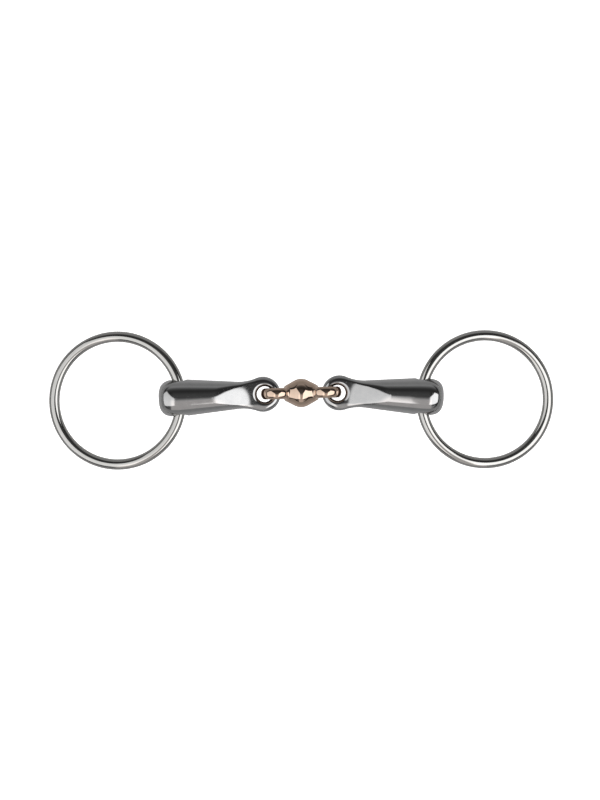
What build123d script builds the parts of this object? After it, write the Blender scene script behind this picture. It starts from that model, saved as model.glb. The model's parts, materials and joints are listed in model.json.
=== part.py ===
from build123d import *
import os
from math import asin, atan2, cos, degrees, hypot, radians, sin, sqrt, tan

# A double-jointed loose-ring snaffle bit: two round rings, two thick tapering bars, and a lozenge
# link between the bars. It lies as it comes to rest on a table when it is laid out straight.
# X runs along the mouthpiece, Z is up, and the rings pass through the bars roughly along Y.
# The origin is on the table, under the middle of the bit. All sizes are in millimetres.

# Rings
ring_outer_diameter = 75.2
ring_wire = 5.8

# Bars: a blunt ring end, a straight taper to the neck, and a flattened eye at the inner end
bar_diameter = 20.4
bar_end_length = 7.0
bar_end_fullness = 0.6
crest_round = 120.0
neck_diameter = 14.8
eye_diameter = 19.2
eye_thickness = 7.2
eye_hole_diameter = 8.5
eye_hole_shift = 0.9
eye_hole_round = 2.2
ring_hole_to_tip = 11.3
ring_hole_to_flat = 18.2
flat_start_slope = 8.5
ring_hole_to_neck = 33.4
ring_hole_to_eye_face = 42.5
ring_hole_to_eye = 45.4
ring_hole_clearance = 0.25
ring_hole_mouth_depth = 1.6
ring_hole_mouth_round = 2.0

# Link: a lozenge with a loop at each end, turned a quarter turn to the eyes of the bars
lozenge_diameter = 15.6
lozenge_slope = 29.5
lozenge_crown = 6.4
link_neck_diameter = 7.4
link_neck_setback = 0.3
link_centre_to_fold = 13.4
loop_thickness = 4.3
loop_side_play = 1.2
loop_clearance = 0.3
loop_bore_depth = 0.05

# How the bit lies: each half droops a little to one side, and the link is slightly askew
half_turn = 2.5
link_turn = 1.6
table_gap = 0.02

# Sizes that follow
ring_radius = (ring_outer_diameter - ring_wire) / 2
bar_radius = bar_diameter / 2
neck_radius = neck_diameter / 2
eye_radius = eye_diameter / 2
eye_hole_radius = eye_hole_diameter / 2
eye_face = eye_thickness / 2
widest_radius = max(bar_radius, eye_radius)
lozenge_radius = lozenge_diameter / 2
link_neck_radius = link_neck_diameter / 2

# The ring curves as it crosses the bar, so its hole is wider than the wire by that bow
ring_bow = ring_radius - sqrt(ring_radius**2 - bar_radius**2)
ring_hole_radius = (ring_wire + ring_bow) / 2 + ring_hole_clearance
ring_hole_to_ring = ring_radius - ring_bow / 2

# The bar's outline: a crest at the ring end, a straight taper, and a hollow flare to the eye
crest_at = bar_end_length - ring_hole_to_tip
eye_run = ring_hole_to_eye - ring_hole_to_neck
flare_round = (eye_run**2 + neck_radius**2 - eye_radius**2) / (2 * (eye_radius - neck_radius))
flare_angle = atan2(neck_radius + flare_round, eye_run)
rounds = crest_round + flare_round
taper_run = ring_hole_to_neck - crest_at
taper_rise = rounds - (bar_radius - neck_radius)
taper_length = sqrt(taper_run**2 + taper_rise**2 - rounds**2)
taper = asin((rounds * taper_run - taper_length * taper_rise) / (taper_run**2 + taper_rise**2))
taper_start = crest_at + crest_round * sin(taper)
taper_start_radius = bar_radius - crest_round * (1 - cos(taper))

# The far side of the eye is the rim that the link's loop turns on
rim_inside = ring_hole_to_eye + eye_hole_shift + eye_hole_radius
rim_outside = ring_hole_to_eye + eye_radius
ring_hole_to_fold = (rim_inside + rim_outside) / 2
rim_corner = ring_hole_to_eye + sqrt(eye_radius**2 - eye_face**2)
rim_reach = hypot(rim_corner - ring_hole_to_fold, eye_face)
loop_hole_radius = rim_reach + loop_clearance
loop_radius = loop_hole_radius + loop_thickness
loop_wire = loop_thickness + loop_bore_depth
loop_width = eye_hole_diameter - 2 * loop_side_play
link_neck_end = link_centre_to_fold - loop_hole_radius - link_neck_setback

# The bit rests on its link's loops, on its bars' crests and on the far sides of its rings
link_height = loop_radius + table_gap
crest_rise = crest_round - bar_radius
bar_lift = bar_radius + table_gap - link_height
bar_run = ring_hole_to_fold - crest_at
bar_slope = (bar_run - sqrt(bar_run**2 - 2 * crest_rise * bar_lift)) / crest_rise
bar_tilt = degrees(asin(bar_slope))
ring_hole_height = link_height + ring_hole_to_fold * bar_slope
ring_drop = ring_hole_height - ring_wire / 2 - table_gap
ring_tilt = degrees(asin(ring_drop / (ring_hole_to_ring + ring_radius)))
bar_reach = ring_hole_to_fold * cos(radians(bar_tilt))
ring_reach = ring_hole_to_ring * cos(radians(ring_tilt))
link_offset = (bar_reach + ring_reach) * sin(radians(half_turn))
link_place = Pos(0, link_offset, link_height) * Rot(0, 0, link_turn)


def bar_outline():
    """Half of the bar's outline, from the tip round to the far side of the eye."""
    Line((-ring_hole_to_tip, 0), (rim_outside, 0))
    Bezier(
        (-ring_hole_to_tip, 0),
        (-ring_hole_to_tip, bar_end_fullness * bar_radius),
        (crest_at - bar_end_fullness * bar_end_length, bar_radius),
        (crest_at, bar_radius),
    )
    crest = CenterArc((crest_at, bar_radius - crest_round), crest_round, 90, -degrees(taper))
    flare = CenterArc(
        (ring_hole_to_neck, neck_radius + flare_round),
        flare_round,
        270 - degrees(taper),
        degrees(taper) + 90 - degrees(flare_angle),
    )
    Line(crest @ 1, flare @ 0)
    CenterArc((ring_hole_to_eye, 0), eye_radius, 0, 180 - degrees(flare_angle))


def flat_outline():
    """What is cut away above the bar: the flat leaves the taper and runs down to the eye's face."""
    flat_start_radius = taper_start_radius - (ring_hole_to_flat - taper_start) * tan(taper)
    flat_start = (ring_hole_to_flat, flat_start_radius)
    eye_start = (ring_hole_to_eye_face, eye_face)
    start_slope = radians(flat_start_slope)
    past_eye = rim_outside + eye_thickness
    Spline(flat_start, eye_start, tangents=[(cos(start_slope), -sin(start_slope)), (1, 0)])
    Polyline(
        eye_start,
        (past_eye, eye_face),
        (past_eye, widest_radius),
        (ring_hole_to_flat, widest_radius),
        flat_start,
    )


def ring_hole_outline():
    """Half of what is drilled for the ring: a straight bore that flares at its mouth."""
    mouth_start = bar_radius - ring_hole_mouth_depth
    mouth_centre = (ring_hole_radius + ring_hole_mouth_round, mouth_start)
    mouth = CenterArc(mouth_centre, ring_hole_mouth_round, 180, -60)
    Polyline(
        mouth @ 1,
        ((mouth @ 1).X, bar_diameter),
        (0, bar_diameter),
        (0, 0),
        (ring_hole_radius, 0),
        mouth @ 0,
    )


def lozenge_outline():
    """A quarter of the lozenge's outline: a rounded crown, a straight slope and a short neck."""
    crown_centre = (0, lozenge_radius - lozenge_crown)
    crown = CenterArc(crown_centre, lozenge_crown, 90 - lozenge_slope, lozenge_slope)
    fall = (crown @ 0).Y - link_neck_radius
    foot = (crown @ 0).X + fall / tan(radians(lozenge_slope))
    Polyline(
        crown @ 0,
        (foot, link_neck_radius),
        (link_neck_end, link_neck_radius),
        (link_neck_end, 0),
        (0, 0),
        crown @ 1,
    )


# One bar, with its ring hole at the origin and its eye along +X
with BuildPart() as bar:
    with BuildSketch(Plane.XY):
        with BuildLine():
            bar_outline()
        make_face()
    revolve(axis=Axis.X)
    with BuildSketch(Plane.XZ):
        with BuildLine():
            flat_outline()
        make_face()
        mirror(about=Plane.XZ)
    extrude(amount=widest_radius, both=True, mode=Mode.SUBTRACT)
    with Locations((ring_hole_to_eye + eye_hole_shift, 0)):
        Hole(eye_hole_radius)
    fillet(bar.edges(Select.LAST).filter_by(GeomType.LINE, reverse=True), eye_hole_round)
    with BuildSketch(Plane.XY):
        with BuildLine():
            ring_hole_outline()
        make_face()
        mirror(about=Plane.XZ)
    revolve(axis=Axis.Y, mode=Mode.SUBTRACT)

# The link, with its middle at the origin and its loops' holes along Y
with BuildPart() as link:
    with BuildSketch(Plane.XY):
        with BuildLine():
            lozenge_outline()
        make_face()
    revolve(axis=Axis.X)
    with BuildSketch(Plane.XY):
        with Locations((link_centre_to_fold + loop_radius - loop_wire / 2, 0)):
            Ellipse(loop_wire / 2, loop_width / 2)
        with Locations((link_centre_to_fold, 0)):
            Rectangle(2 * loop_hole_radius, loop_width, mode=Mode.SUBTRACT)
    revolve(axis=Axis((link_centre_to_fold, 0, 0), (0, 1, 0)))
    mirror(about=Plane.YZ)

# One ring, lying flat round the origin
with BuildPart() as ring:
    Torus(ring_radius, ring_wire / 2)


def bar_place(side):
    """Where a bar's ring hole is: the bar runs from there in and slightly down to the link."""
    fold = (link_place * Pos(side * link_centre_to_fold, 0, 0)).position
    inward = 90 + side * (90 - half_turn)
    return Pos(fold) * Rot(0, 0, inward) * Rot(0, bar_tilt, 0) * Pos(-ring_hole_to_fold, 0, 0)


def ring_place(side):
    """Where a ring's middle is: the ring runs from its hole out and down to the table."""
    return bar_place(side) * Rot(0, -bar_tilt - ring_tilt, 0) * Pos(-ring_hole_to_ring, 0, 0)


with BuildPart() as left_ring:
    with Locations(ring_place(-1)):
        add(ring.part)

with BuildPart() as left_cannon:
    with Locations(bar_place(-1)):
        add(bar.part)

with BuildPart() as centre_link:
    with Locations(link_place):
        add(link.part)

with BuildPart() as right_cannon:
    with Locations(bar_place(1)):
        add(bar.part)

with BuildPart() as right_ring:
    with Locations(ring_place(1)):
        add(ring.part)

os.makedirs("parts", exist_ok=True)
left_ring.part.label = "left_ring"
export_step(left_ring.part, "parts/left_ring.step")
left_cannon.part.label = "left_cannon"
export_step(left_cannon.part, "parts/left_cannon.step")
centre_link.part.label = "centre_link"
export_step(centre_link.part, "parts/centre_link.step")
right_cannon.part.label = "right_cannon"
export_step(right_cannon.part, "parts/right_cannon.step")
right_ring.part.label = "right_ring"
export_step(right_ring.part, "parts/right_ring.step")
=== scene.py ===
import json
import math
import bpy
import numpy as np
from mathutils import Matrix, Vector


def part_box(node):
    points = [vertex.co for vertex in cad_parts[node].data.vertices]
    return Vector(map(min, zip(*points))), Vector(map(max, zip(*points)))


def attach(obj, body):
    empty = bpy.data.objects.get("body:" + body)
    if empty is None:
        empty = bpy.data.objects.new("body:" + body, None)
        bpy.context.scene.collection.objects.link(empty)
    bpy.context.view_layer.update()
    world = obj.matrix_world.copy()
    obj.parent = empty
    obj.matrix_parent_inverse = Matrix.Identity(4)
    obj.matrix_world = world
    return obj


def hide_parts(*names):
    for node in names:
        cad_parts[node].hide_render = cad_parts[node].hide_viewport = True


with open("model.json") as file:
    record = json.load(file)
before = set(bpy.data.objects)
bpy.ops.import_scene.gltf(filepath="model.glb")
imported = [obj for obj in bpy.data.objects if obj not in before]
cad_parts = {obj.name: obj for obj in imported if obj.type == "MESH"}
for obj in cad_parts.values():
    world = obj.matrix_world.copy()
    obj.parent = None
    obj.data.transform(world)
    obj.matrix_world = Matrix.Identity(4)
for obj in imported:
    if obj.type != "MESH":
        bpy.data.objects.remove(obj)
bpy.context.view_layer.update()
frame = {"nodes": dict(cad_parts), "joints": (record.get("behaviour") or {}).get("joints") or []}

# A double-jointed loose-ring snaffle bit. Shapes are worked out in millimetres, in each
# forging's own frame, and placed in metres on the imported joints.

MM = 0.001

# Bar, measured from its ring hole towards its eye
BAR_RADIUS = 10.2
BAR_TIP = -11.3
BAR_CREST = -4.3
BAR_CREST_ROUND = 120.0
BAR_END_AT = -0.3
BAR_END_RISE = 7.1
BAR_END_RUN = -9.4
BAR_NECK = 33.4
BAR_NECK_RADIUS = 7.4
EYE_AT = 45.4
EYE_RADIUS = 9.6
EYE_HALF_THICKNESS = 3.6
EYE_HOLE_AT = 46.3
EYE_HOLE_RADIUS = 4.25
EYE_HOLE_ROUND = 2.3
RING_HOLE_RADIUS = 3.92
RING_HOLE_EDGE = 0.8

# The flat pressed on each face of a bar. It leaves the taper at FLAT_SLOPE, and curves up at
# FLAT_LEAD before that. Across the bar it falls off by its crown times the squared distance from
# its middle line. The crown grows from the eye back to the flat's start.
FLAT_START = 18.2
FLAT_SLOPE = math.radians(8.5)
FLAT_LEAD = 0.1
FLAT_END = 42.5
FLAT_CROWN = 0.003
FLAT_CROWN_GROWTH = 0.036

# The flat's edge is sharpest at its start. It softens over a first run, and again by the eye.
FLAT_EDGE = 0.2
FLAT_EDGE_GROWTH = 0.7
FLAT_EDGE_RUN = 9.0
EYE_EDGE_START = 36.0
EYE_EDGE_GROWTH = 2.4
EYE_EDGE_RUN = 9.0

# Ring
RING_RADIUS = 34.7
RING_WIRE_RADIUS = 2.9
RING_STEPS_ROUND = 720
RING_STEPS_ACROSS = 96

# Link, measured from its middle
LOZENGE_RADIUS = 7.8
LOZENGE_CROWN = 7.7
LOZENGE_SLOPE = math.radians(28.4)
LOZENGE_END = 10.4
LOZENGE_END_EDGE = 1.0
LOOP_AT = 13.4
LOOP_INSIDE = 4.21
LOOP_THICKNESS = 4.3
LOOP_WIDTH = 6.1
LOOP_FILLET = 1.4
LOOP_EDGE = 0.5

# Meshing of a forging
BAR_CELL = 0.34
LINK_CELL = 0.28
WELD_REACH = 0.0005
SLOPE_STEP = 0.01
LEAST_SLOPE = 0.1
LONGEST_MOVE = 0.4
EVENING = 0.6
FIRST_ROUNDS = 3
EVENING_ROUNDS = 6
LAST_ROUNDS = 2
CURVE_SAMPLES = 40
CURVE_ROUNDS = 4

OWN_PLACE = "own_place"


# ---------------------------------------------------------------- places on the joints

joint = {j["name"]: j for j in frame["joints"]}


def squared(x_way, y_way, origin):
    """A frame with its X along x_way and its Y near y_way."""
    x = Vector(x_way).normalized()
    z = x.cross(Vector(y_way)).normalized()
    y = z.cross(x)
    turn = Matrix((x, y, z)).transposed().to_4x4()
    return Matrix.Translation(Vector(origin)) @ turn


def bar_frame(side):
    """X from the ring hole to the eye, Y along the ring hole."""
    hole = Vector(joint[side + "_ring_swing"]["pos_m"])
    fold = Vector(joint[side + "_fold"]["pos_m"])
    return squared(fold - hole, joint[side + "_ring_swing"]["axis"], hole)


def ring_frame(side):
    """The ring's middle, with X towards the hole that holds it and Z square to the ring."""
    hole = Vector(joint[side + "_ring_swing"]["pos_m"])
    low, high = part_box(side + "_ring")
    middle = (low + high) / 2
    return squared(hole - middle, joint[side + "_ring_swing"]["axis"], middle)


def link_frame():
    """The link's middle, with X from the left loop to the right one and Y through a loop."""
    left = Vector(joint["left_fold"]["pos_m"])
    right = Vector(joint["right_fold"]["pos_m"])
    return squared(right - left, joint["left_fold"]["axis"], (left + right) / 2)


# ---------------------------------------------------------------- forged shapes as fields
# A field is below zero inside the metal and above zero outside it, in about millimetres.


def fused(a, b, blend):
    """The union of two fields with a fillet where they meet."""
    share = np.maximum(blend - np.abs(a - b), 0) / blend
    return np.minimum(a, b) - share * share * blend / 4


def shared(a, b, blend):
    """What two fields have in common, with a rounded edge where they meet."""
    return -fused(-a, -b, blend)


def rounded_off(a, b, round_radius):
    """What two fields have in common, with an edge rounded to a true radius."""
    over_a = np.maximum(a + round_radius, 0)
    over_b = np.maximum(b + round_radius, 0)
    corner = np.hypot(over_a, over_b) - round_radius
    return np.where((over_a > 0) & (over_b > 0), corner, np.maximum(a, b))


def bar_profile():
    """The bar's turned outline: its taper, and where the hollow by the eye meets the eye."""
    eye_run = EYE_AT - BAR_NECK
    flare = (eye_run**2 + BAR_NECK_RADIUS**2 - EYE_RADIUS**2) / (
        2 * (EYE_RADIUS - BAR_NECK_RADIUS)
    )
    rounds = BAR_CREST_ROUND + flare
    run = BAR_NECK - BAR_CREST
    rise = rounds - (BAR_RADIUS - BAR_NECK_RADIUS)
    length = math.sqrt(run**2 + rise**2 - rounds**2)
    taper = math.asin((rounds * run - length * rise) / (run**2 + rise**2))
    eye_side = math.atan2(BAR_NECK_RADIUS + flare, eye_run)
    return flare, taper, eye_side


FLARE, TAPER, EYE_SIDE = bar_profile()
TAPER_START = BAR_CREST + BAR_CREST_ROUND * math.sin(TAPER)
TAPER_START_RADIUS = BAR_RADIUS - BAR_CREST_ROUND * (1 - math.cos(TAPER))
TAPER_END = BAR_NECK - FLARE * math.sin(TAPER)
EYE_SIDE_AT = EYE_AT - EYE_RADIUS * math.cos(EYE_SIDE)


def bar_end(x, r):
    """How far a point is from the bar's rounded ring end, found by walking along its curve."""
    past_crest = BAR_END_AT - BAR_CREST
    end_radius = BAR_RADIUS - past_crest**2 / (2 * BAR_CREST_ROUND)
    end_slope = past_crest / BAR_CREST_ROUND
    a, b, c, d = np.array(
        [
            (BAR_TIP, 0),
            (BAR_TIP, BAR_END_RISE),
            (BAR_END_RUN, end_radius + end_slope * (BAR_END_AT - BAR_END_RUN)),
            (BAR_END_AT, end_radius),
        ]
    )

    def curve(t):
        t = t[:, None]
        return (1 - t) ** 3 * a + 3 * (1 - t) ** 2 * t * b + 3 * (1 - t) * t**2 * c + t**3 * d

    def curve_slope(t):
        t = t[:, None]
        return 3 * ((1 - t) ** 2 * (b - a) + 2 * (1 - t) * t * (c - b) + t**2 * (d - c))

    def curve_bend(t):
        t = t[:, None]
        return 6 * ((1 - t) * (c - 2 * b + a) + t * (d - 2 * c + b))

    p = np.stack([x, r], 1)
    steps = np.linspace(0, 1, CURVE_SAMPLES)
    gaps = ((p[:, None, :] - curve(steps)[None]) ** 2).sum(2)
    t = steps[gaps.argmin(1)]
    for _ in range(CURVE_ROUNDS):
        gap = curve(t) - p
        slope = curve_slope(t)
        first = (gap * slope).sum(1)
        second = (slope * slope).sum(1) + (gap * curve_bend(t)).sum(1)
        t = np.clip(t - first / np.where(np.abs(second) < 1e-9, 1e-9, second), 0, 1)
    gap = p - curve(t)
    slope = curve_slope(t)
    outward = np.stack([-slope[:, 1], slope[:, 0]], 1)
    outward /= np.linalg.norm(outward, axis=1)[:, None]
    return (gap * outward).sum(1)


def bar_body(x, r):
    """The turned bar, from its ring end to the ball that the eye is pressed from."""
    end = np.zeros_like(x)
    tip = x < BAR_END_AT
    if tip.any():
        end[tip] = bar_end(x[tip], r[tip])
    crest = np.hypot(x - BAR_CREST, r - (BAR_RADIUS - BAR_CREST_ROUND)) - BAR_CREST_ROUND
    cone = (r - TAPER_START_RADIUS) * math.cos(TAPER) + (x - TAPER_START) * math.sin(TAPER)
    hollow = FLARE - np.hypot(x - BAR_NECK, r - (BAR_NECK_RADIUS + FLARE))
    ball = np.hypot(x - EYE_AT, r) - EYE_RADIUS
    return np.select(
        [tip, x < TAPER_START, x < TAPER_END, x < EYE_SIDE_AT],
        [end, crest, cone, hollow],
        ball,
    )


def flat_height(x):
    """How high the pressed flat is above the bar's middle, as it runs down to the eye."""
    start = TAPER_START_RADIUS - (FLAT_START - TAPER_START) * math.tan(TAPER)
    span = FLAT_END - FLAT_START
    t = np.clip((x - FLAT_START) / span, 0, 1)
    down = (
        (2 * t**3 - 3 * t**2 + 1) * start
        + (t**3 - 2 * t**2 + t) * span * -math.tan(FLAT_SLOPE)
        + (3 * t**2 - 2 * t**3) * EYE_HALF_THICKNESS
    )
    before = np.maximum(FLAT_START - x, 0)
    return down + before * math.tan(FLAT_SLOPE) + FLAT_LEAD * before**2


def bar_field(p):
    """A bar with its flats, its eye hole and its ring hole."""
    x, y, z = p.T
    body = bar_body(x, np.hypot(y, z))
    to_eye = np.clip((x - EYE_EDGE_START) / EYE_EDGE_RUN, 0, 1)
    to_eye = to_eye * to_eye * (3 - 2 * to_eye)
    slope = (flat_height(x + 0.05) - flat_height(x - 0.05)) / 0.1
    to_level = np.clip((FLAT_END - x) / (FLAT_END - FLAT_START), 0, 1)
    crown = FLAT_CROWN + FLAT_CROWN_GROWTH * to_level**2
    flat = np.abs(z) - flat_height(x) + crown * y * y
    flat /= np.sqrt(1 + slope * slope + 4 * crown * crown * y * y)
    off_apex = np.clip((x - FLAT_START) / FLAT_EDGE_RUN, 0, 1)
    edge = FLAT_EDGE + FLAT_EDGE_GROWTH * off_apex + EYE_EDGE_GROWTH * to_eye
    body = shared(body, flat, edge)
    eye_hole = EYE_HOLE_RADIUS - np.hypot(x - EYE_HOLE_AT, y)
    body = rounded_off(body, eye_hole, EYE_HOLE_ROUND)
    ring_hole = RING_HOLE_RADIUS - np.hypot(x, z)
    return shared(body, ring_hole, RING_HOLE_EDGE)


def link_field(p):
    """The lozenge with a loop at each end. Both halves are alike."""
    x, y, z = p.T
    x = np.abs(x)
    r = np.hypot(y, z)
    along = math.cos(LOZENGE_SLOPE)
    across = math.sin(LOZENGE_SLOPE)
    crown_middle = LOZENGE_RADIUS - LOZENGE_CROWN
    crown = np.hypot(x, r - crown_middle) - LOZENGE_CROWN
    edge_x = LOZENGE_CROWN * across
    edge_r = LOZENGE_RADIUS - LOZENGE_CROWN * (1 - along)
    cone = (r - edge_r) * along + (x - edge_x) * across
    on_crown = x * along < (r - crown_middle) * across
    lozenge = shared(np.where(on_crown, crown, cone), x - LOZENGE_END, LOZENGE_END_EDGE)
    half_thickness = LOOP_THICKNESS / 2
    half_width = LOOP_WIDTH / 2
    off_centre = np.hypot(x - LOOP_AT, z)
    out = (off_centre - (LOOP_INSIDE + half_thickness)) / half_thickness
    aside = y / half_width
    size = np.maximum(np.hypot(out, aside), 0.05)
    steepness = np.hypot(out / half_thickness, aside / half_width) / size
    loop = (size - 1) / np.maximum(steepness, 0.05)
    bore = LOOP_INSIDE - off_centre
    return shared(fused(lozenge, loop, LOOP_FILLET), bore, LOOP_EDGE)


# ---------------------------------------------------------------- from a field to a mesh


def steepest(field, p):
    """Which way a field rises fastest at each point, and how fast."""
    rise = np.empty_like(p)
    for axis in range(3):
        shift = np.zeros(3)
        shift[axis] = SLOPE_STEP
        rise[:, axis] = (field(p + shift) - field(p - shift)) / (2 * SLOPE_STEP)
    return rise


def settle(field, p, rounds):
    """Moves points onto the surface where a field is zero."""
    for _ in range(rounds):
        rise = steepest(field, p)
        size = np.maximum((rise * rise).sum(1), LEAST_SLOPE)
        move = np.clip(field(p) / size, -LONGEST_MOVE, LONGEST_MOVE)
        p = p - move[:, None] * rise
    return p


def evened(p, ends, shares):
    """Moves each point part of the way to the middle of its neighbours."""
    total = np.zeros_like(p)
    for axis in range(3):
        total[:, axis] = np.bincount(ends[:, 0], p[ends[:, 1], axis], len(p))
        total[:, axis] += np.bincount(ends[:, 1], p[ends[:, 0], axis], len(p))
    return p + EVENING * (total / shares[:, None] - p)


def new_object(name, mesh):
    """Puts a mesh in the scene as an object of its own."""
    made = bpy.data.objects.new(name, mesh)
    bpy.context.scene.collection.objects.link(made)
    return made


def result_of(source, name):
    """What an object's modifiers make of it, as a plain mesh. The object itself goes."""
    bpy.context.view_layer.update()
    graph = bpy.context.evaluated_depsgraph_get()
    mesh = bpy.data.meshes.new_from_object(source.evaluated_get(graph), depsgraph=graph)
    bpy.data.objects.remove(source)
    mesh.name = name
    return mesh


def points_of(mesh):
    """A mesh's points, one to a row."""
    flat = np.empty(len(mesh.vertices) * 3)
    mesh.vertices.foreach_get("co", flat)
    return flat.reshape(-1, 3)


def keep_own_place(mesh, points):
    """Stores each point's place in its piece's own frame, in metres, for the finishes."""
    own = mesh.attributes.new(OWN_PLACE, "FLOAT_VECTOR", "POINT")
    own.data.foreach_set("vector", points.ravel())


def forged(name, node, place, field, cell):
    """A fine, even mesh of a field's surface, started from a remeshed copy of a CAD node."""
    rough = frame["nodes"][node].data.copy()
    start = new_object(name + "_rough", rough)
    weld = start.modifiers.new("weld", "WELD")
    weld.merge_threshold = WELD_REACH * MM
    cells = start.modifiers.new("cells", "REMESH")
    cells.mode = "VOXEL"
    cells.voxel_size = cell * MM
    mesh = result_of(start, name)
    bpy.data.meshes.remove(rough)
    mesh.materials.clear()

    to_own = np.array(place.inverted())
    p = (points_of(mesh) @ to_own[:3, :3].T + to_own[:3, 3]) / MM
    pairs = np.empty(len(mesh.edges) * 2, np.int32)
    mesh.edges.foreach_get("vertices", pairs)
    pairs = pairs.reshape(-1, 2)
    shares = np.bincount(pairs.ravel(), minlength=len(p)).astype(float)
    p = settle(field, p, FIRST_ROUNDS)
    for _ in range(EVENING_ROUNDS):
        p = settle(field, evened(p, pairs, shares), 1)
    p = settle(field, p, LAST_ROUNDS)
    normals = steepest(field, p)
    normals /= np.linalg.norm(normals, axis=1)[:, None]

    to_world = np.array(place)
    mesh.vertices.foreach_set("co", (p * MM @ to_world[:3, :3].T + to_world[:3, 3]).ravel())
    mesh.update()
    mesh.shade_smooth()
    mesh.normals_split_custom_set_from_vertices(normals @ to_world[:3, :3].T)
    keep_own_place(mesh, p * MM)
    return new_object(name, mesh)


# ---------------------------------------------------------------- the ring, as a node tree

RING_SIZES = (
    ("Ring radius", "NodeSocketFloat", RING_RADIUS * MM),
    ("Wire radius", "NodeSocketFloat", RING_WIRE_RADIUS * MM),
    ("Steps round", "NodeSocketInt", RING_STEPS_ROUND),
    ("Steps across", "NodeSocketInt", RING_STEPS_ACROSS),
)


def ring_tree(finish):
    """Bends a round wire into a closed ring. Gives the tree and its inputs' identifiers."""
    tree = bpy.data.node_groups.new("bent_ring", "GeometryNodeTree")
    sockets = {}
    for name, kind, size in RING_SIZES:
        made = tree.interface.new_socket(name, in_out="INPUT", socket_type=kind)
        made.default_value = size
        sockets[name] = made.identifier
    tree.interface.new_socket("Geometry", in_out="OUTPUT", socket_type="NodeSocketGeometry")
    nodes = tree.nodes
    links = tree.links
    sizes = nodes.new("NodeGroupInput")
    result = nodes.new("NodeGroupOutput")
    way_round = nodes.new("GeometryNodeCurvePrimitiveCircle")
    section = nodes.new("GeometryNodeCurvePrimitiveCircle")
    sweep = nodes.new("GeometryNodeCurveToMesh")
    smooth = nodes.new("GeometryNodeSetShadeSmooth")
    real = nodes.new("GeometryNodeRealizeInstances")
    coat = nodes.new("GeometryNodeSetMaterial")
    coat.inputs["Material"].default_value = finish
    links.new(sizes.outputs["Ring radius"], way_round.inputs["Radius"])
    links.new(sizes.outputs["Steps round"], way_round.inputs["Resolution"])
    links.new(sizes.outputs["Wire radius"], section.inputs["Radius"])
    links.new(sizes.outputs["Steps across"], section.inputs["Resolution"])
    links.new(way_round.outputs["Curve"], sweep.inputs["Curve"])
    links.new(section.outputs["Curve"], sweep.inputs["Profile Curve"])
    links.new(sweep.outputs["Mesh"], smooth.inputs["Geometry"])
    links.new(smooth.outputs["Geometry"], real.inputs["Geometry"])
    links.new(real.outputs["Geometry"], coat.inputs["Geometry"])
    links.new(coat.outputs["Geometry"], result.inputs["Geometry"])
    return tree, sockets


def bent_ring(name, place, finish):
    """One ring as a plain mesh, bent by the node tree and set in its place."""
    blank = new_object(name + "_blank", bpy.data.meshes.new(name + "_blank"))
    maker = blank.modifiers.new("ring", "NODES")
    maker.node_group, sockets = ring_tree(finish)
    for size_name, _, size in RING_SIZES:
        maker[sockets[size_name]] = size
    mesh = result_of(blank, name)
    keep_own_place(mesh, points_of(mesh))
    mesh.transform(place)
    return new_object(name, mesh)


# ---------------------------------------------------------------- finishes

BUMP_STRENGTH = 0.12
BUMP_DEPTH = 0.00002

# Each metal's darkest and lightest tint
BAR_STEEL = ((0.50, 0.505, 0.515, 1), (0.66, 0.655, 0.65, 1))
RING_STEEL = ((0.58, 0.575, 0.56, 1), (0.70, 0.69, 0.67, 1))
COPPER = ((0.74, 0.53, 0.40, 1), (0.84, 0.67, 0.55, 1))

# The eye hole's wall is left dull and carries painted shade, a near-black colour, as far out as
# the first distance below. The polish is full and the painted shade is gone from the second, in
# millimetres from the hole's middle.
EYE_WALL_PAINTED_SHADE = (0.09, 0.075, 0.07, 1)
EYE_PAINTED_SHADE_AND_DULL_TO = 4.9
EYE_POLISH_AND_NO_PAINTED_SHADE_FROM = 5.7


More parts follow.
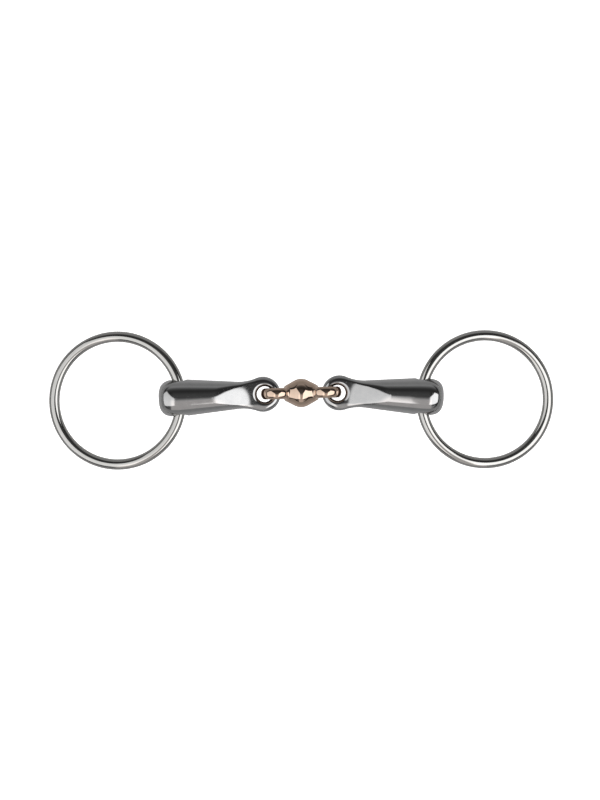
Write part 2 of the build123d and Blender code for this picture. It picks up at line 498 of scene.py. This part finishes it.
class Shade:
    """A socket in a shader tree. Sums on it add Math nodes."""

    def __init__(self, tree, socket=None):
        self.tree = tree
        self.socket = socket

    def node(self, kind, settings=None, inputs=None, output=0):
        """Adds a node: its settings first, then the values or links of its sockets."""
        made = self.tree.nodes.new(kind)
        for key, value in (settings or {}).items():
            setattr(made, key, value)
        for key, value in (inputs or {}).items():
            if isinstance(value, Shade):
                self.tree.links.new(value.socket, made.inputs[key])
            else:
                made.inputs[key].default_value = value
        return Shade(self.tree, made.outputs[output] if made.outputs else None)

    def sums(self, operation, *values):
        return self.node("ShaderNodeMath", {"operation": operation}, dict(enumerate(values)))

    def __add__(self, other):
        return self.sums("ADD", self, other)

    def __radd__(self, other):
        return self.sums("ADD", other, self)

    def __sub__(self, other):
        return self.sums("SUBTRACT", self, other)

    def __rsub__(self, other):
        return self.sums("SUBTRACT", other, self)

    def __mul__(self, other):
        return self.sums("MULTIPLY", self, other)

    def __rmul__(self, other):
        return self.sums("MULTIPLY", other, self)

    def __abs__(self):
        return self.sums("ABSOLUTE", self)

    def least(self, other):
        return self.sums("MINIMUM", self, other)

    def between(self, low, high, start=0.0, end=1.0):
        """Goes smoothly from start to end as this goes from low to high."""
        return self.node(
            "ShaderNodeMapRange",
            {"interpolation_type": "SMOOTHSTEP"},
            {"Value": self, "From Min": low, "From Max": high, "To Min": start, "To Max": end},
        )

    def mixed(self, first, second):
        """A colour that goes from first to second as this goes from 0 to 1."""
        return self.node(
            "ShaderNodeMix",
            {"data_type": "RGBA"},
            {0: self, 6: first, 7: second},
            output=2,
        )

    def vector(self, operation, other, output=0):
        """Vector maths on this vector and another."""
        return self.node(
            "ShaderNodeVectorMath", {"operation": operation}, {0: self, 1: other}, output
        )

    def part(self, index):
        """One part of a vector: 0 for X, 1 for Y, 2 for Z."""
        return self.node("ShaderNodeSeparateXYZ", None, {"Vector": self}, index)

    def noise(self, scale, detail=3.0, roughness=0.5, stretch=None):
        """Cloudy noise over a place, longest along the direction with the smallest stretch."""
        where = self
        if stretch:
            where = self.node("ShaderNodeMapping", None, {"Vector": self, "Scale": stretch})
        return self.node(
            "ShaderNodeTexNoise",
            None,
            {"Vector": where, "Scale": scale, "Detail": detail, "Roughness": roughness},
        )

    def scratches(self, scale, stretch, fine=0.62):
        """Thin, scattered polishing lines. A larger fine makes them fewer."""
        return self.noise(scale, 2.0, 0.6, stretch).between(fine, fine + 0.1)


def new_finish(name):
    """An empty material, and its shader tree."""
    finish = bpy.data.materials.new(name)
    finish.use_nodes = True
    finish.node_tree.nodes.clear()
    return finish, Shade(finish.node_tree)


def own_place(tree):
    """A point's place in its piece's own frame, in metres."""
    return tree.node("ShaderNodeAttribute", {"attribute_name": OWN_PLACE}, output=1)


def metal(tree, base, roughness, height):
    """Bare metal with a very shallow relief."""
    relief = tree.node(
        "ShaderNodeBump",
        None,
        {"Strength": BUMP_STRENGTH, "Distance": BUMP_DEPTH, "Height": height},
    )
    surface = tree.node(
        "ShaderNodeBsdfPrincipled",
        None,
        {"Base Color": base, "Metallic": 1.0, "Roughness": roughness, "Normal": relief},
    )
    tree.node("ShaderNodeOutputMaterial", None, {"Surface": surface})


def polished_bar():
    """Steel polished along the bar, with some lines across it, and painted shade in a dull eye
    hole.
    """
    finish, tree = new_finish("bar_steel_polish")
    where = own_place(tree)
    cloud = where.noise(260.0)
    haze = where.noise(900.0, 4.0, 0.65, (0.35, 1.0, 1.0))
    lines = where.scratches(5200.0, (0.06, 1.0, 1.0))
    cross = where.scratches(3800.0, (1.0, 0.08, 0.5), 0.66)
    marks = (lines + cross).least(1.0)
    flattened = where.vector("MULTIPLY", (1, 1, 0))
    from_eye = flattened.vector("DISTANCE", (EYE_HOLE_AT * MM, 0, 0), 1)
    polish_out_of_painted_shade = from_eye.between(EYE_PAINTED_SHADE_AND_DULL_TO * MM, EYE_POLISH_AND_NO_PAINTED_SHADE_FROM * MM)
    dull = polish_out_of_painted_shade.between(1.0, 0.0, 0.0, 0.2)
    rough = 0.055 + cloud * 0.05 + haze * 0.04 + marks * 0.1 + dull
    tint = (cloud * 0.6 + haze * 0.4).mixed(*BAR_STEEL)
    # Inside the eye hole the steel's tint gives way to a near-black colour, which is painted
    # shade.
    metal(tree, polish_out_of_painted_shade.mixed(EYE_WALL_PAINTED_SHADE, tint), rough, haze * 0.6 - marks * 0.4)
    return finish


def polished_ring():
    """Steel a little brighter than the bars'."""
    finish, tree = new_finish("ring_steel_polish")
    where = own_place(tree)
    cloud = where.noise(320.0)
    haze = where.noise(1600.0, 4.0, 0.65)
    lines = where.scratches(6000.0, (1.0, 0.2, 1.0))
    rough = 0.05 + cloud * 0.05 + lines * 0.08
    tint = (cloud * 0.6 + haze * 0.4).mixed(*RING_STEEL)
    metal(tree, tint, rough, haze * 0.5 - lines * 0.3)
    return finish


def polished_copper():
    """A copper alloy polished along the link."""
    finish, tree = new_finish("link_copper_polish")
    where = own_place(tree)
    cloud = where.noise(300.0)
    haze = where.noise(1200.0, 4.0, 0.65)
    lines = where.scratches(5200.0, (0.1, 1.0, 1.0))
    rough = 0.02 + cloud * 0.03 + lines * 0.06
    metal(tree, cloud.mixed(*COPPER), rough, haze * 0.5 - lines * 0.3)
    return finish


# ---------------------------------------------------------------- pieces

bar_steel = polished_bar()
ring_steel = polished_ring()
link_copper = polished_copper()

for side in ("left", "right"):
    bar = forged(side + "_bar", side + "_cannon", bar_frame(side), bar_field, BAR_CELL)
    bar.data.materials.append(bar_steel)
    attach(bar, side + "_cannon")
    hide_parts(side + "_cannon")

    ring = bent_ring(side + "_loose_ring", ring_frame(side), ring_steel)
    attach(ring, side + "_ring")
    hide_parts(side + "_ring")

link = forged("lozenge_link", "centre_link", link_frame(), link_field, LINK_CELL)
link.data.materials.append(link_copper)
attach(link, "centre_link")
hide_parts("centre_link")


# ---------------------------------------------------------------- studio
# A white sweep, and a low ceiling with two wide soft lights and a dark gap between them.
# The sweep lies SWEEP_DROP below the table's height, so that a bar or a ring that swings down
# past the table stays in view.

CEILING_HEIGHT = 0.7
CEILING_REACH = 4.0
CEILING_SIDES = 64
SWEEP_DROP = 0.13
SWEEP_REACH = 3.0
SWEEP_ROUND = 1.5
SWEEP_BENDS = 12
SWEEP_TOP = 5.0
SWEEP_SIDES = 96
SWEEP_GLOW = 0.85

# How bright each part of the ceiling is
CEILING_GLOW = 0.03
LEFT_LIGHT = 1.0
RIGHT_LIGHT = 1.5
SOUTH_LIGHT = 0.24
NORTH_LIGHT = 0.26
WHITE = (1, 1, 1, 1)
WARM_WHITE = (1, 0.96, 0.94, 1)


def circle(radius, height, sides):
    """The corners of a level polygon round the Z axis."""
    turns = [2 * math.pi * k / sides for k in range(sides)]
    return [(radius * math.cos(a), radius * math.sin(a), height) for a in turns]


def studio_piece(name, points, faces, finish):
    mesh = bpy.data.meshes.new(name)
    mesh.from_pydata(points, [], faces)
    mesh.materials.append(finish)
    return new_object(name, mesh)


def sweep_finish():
    """White paper that glows enough to stay white under the dim studio."""
    finish, tree = new_finish("white_sweep")
    grain = tree.node("ShaderNodeTexCoord", output=3).noise(40.0)
    surface = tree.node(
        "ShaderNodeBsdfPrincipled",
        None,
        {
            "Base Color": grain.mixed((0.93, 0.93, 0.93, 1), (0.96, 0.96, 0.96, 1)),
            "Roughness": 0.9,
            "Emission Color": WHITE,
            "Emission Strength": SWEEP_GLOW,
        },
    )
    tree.node("ShaderNodeOutputMaterial", None, {"Surface": surface})
    return finish


def white_sweep():
    """A round floor that bends up into a wall all the way round."""
    outline = []
    for bend in range(SWEEP_BENDS + 1):
        turn = math.pi / 2 * bend / SWEEP_BENDS
        radius = SWEEP_REACH + SWEEP_ROUND * math.sin(turn)
        outline.append((radius, SWEEP_ROUND * (1 - math.cos(turn))))
    outline.append((SWEEP_REACH + SWEEP_ROUND, SWEEP_TOP))
    points = []
    for radius, height in outline:
        points.extend(circle(radius, height - SWEEP_DROP, SWEEP_SIDES))
    faces = [list(range(SWEEP_SIDES))]
    for row in range(len(outline) - 1):
        low = row * SWEEP_SIDES
        high = low + SWEEP_SIDES
        for k in range(SWEEP_SIDES):
            beside = (k + 1) % SWEEP_SIDES
            faces.append([low + k, high + k, high + beside, low + beside])
    sheet = studio_piece("white_sweep", points, faces, sweep_finish())
    sheet.data.shade_smooth()
    return sheet


def ceiling_finish():
    """The ceiling's glow over its own x and y in metres. Each between() is one soft edge."""
    finish, tree = new_finish("ceiling_light")
    where = tree.node("ShaderNodeTexCoord", output=3)
    x = where.part(0)
    y = where.part(1)
    away = abs(x)
    left = (
        x.between(-0.08, -0.15)
        * ((1.2 * away - 0.16).least(0.85) - y).between(-0.03, 0.05)
        * (y + 0.75 + 0.45 * away).between(0.0, 0.08)
        * x.between(-2.9, -2.1)
        * y.between(0.7, -0.6, 0.8, 1.0)
    )
    right = (
        x.between(0.15, 0.25)
        * ((1.2 * away - 0.27).least(0.36) - y).between(-0.03, 0.05)
        * (y + 0.9).between(0.0, 0.08)
        * x.between(1.8, 1.3)
    )
    near = (away + 0.16 * y.least(0.0)).between(0.3, 0.14)
    gap = near * (y.between(0.6, 0.1) * 0.04 + y.between(0.0, -0.32) * 0.42)
    south = y.between(-1.1, -1.35) * x.between(-0.5, 0.1, 0.35, 1.0) * away.between(1.5, 0.8)
    north = y.between(0.5, 2.2) * away.between(1.6, 0.8)
    glow = CEILING_GLOW + left * LEFT_LIGHT + right * RIGHT_LIGHT + gap
    glow = glow + (1 - near) * south * SOUTH_LIGHT + north * NORTH_LIGHT
    colour = (near * y.between(0.0, -0.4)).mixed(WHITE, WARM_WHITE)
    lamp = tree.node("ShaderNodeEmission", None, {"Color": colour, "Strength": glow})
    tree.node("ShaderNodeOutputMaterial", None, {"Surface": lamp})
    return finish


def ceiling_light():
    corners = circle(CEILING_REACH, CEILING_HEIGHT, CEILING_SIDES)
    facing_down = list(reversed(range(CEILING_SIDES)))
    return studio_piece("ceiling_light", corners, [facing_down], ceiling_finish())


def studio_walls():
    """Grey walls that end a little above the table, and a faint glow from below."""
    world = bpy.data.worlds.new("studio_walls")
    world.use_nodes = True
    world.node_tree.nodes.clear()
    tree = Shade(world.node_tree)
    up = tree.node("ShaderNodeTexCoord").part(2)
    level = up.between(0.3, 0.15, 0.05, 0.26) + up.between(0.0, -0.8, 0.0, 0.14)
    glow = tree.node("ShaderNodeBackground", None, {"Color": WHITE, "Strength": level})
    tree.node("ShaderNodeOutputWorld", None, {"Surface": glow})
    return world


sweep = white_sweep()
sweep.visible_glossy = False
ceiling = ceiling_light()
ceiling.visible_camera = False

scene = bpy.context.scene
scene.world = studio_walls()
scene.view_settings.view_transform = "Standard"

# The camera looks straight down. VIEW_LONG is the length that the long side of the view takes
# in at VIEW_LEVEL above the table, in metres.
VIEW_LONG = 0.4348
VIEW_LEVEL = 0.006
VIEW_HEIGHT = 2.2
VIEW_MIDDLE = (-0.00065, -0.00005)
SENSOR_WIDTH = 36
lens = bpy.data.cameras.new("camera")
lens.sensor_width = SENSOR_WIDTH
lens.lens = SENSOR_WIDTH * (VIEW_HEIGHT - VIEW_LEVEL) / VIEW_LONG
camera = new_object("camera", lens)
camera.location = (*VIEW_MIDDLE, VIEW_HEIGHT)
scene.camera = camera
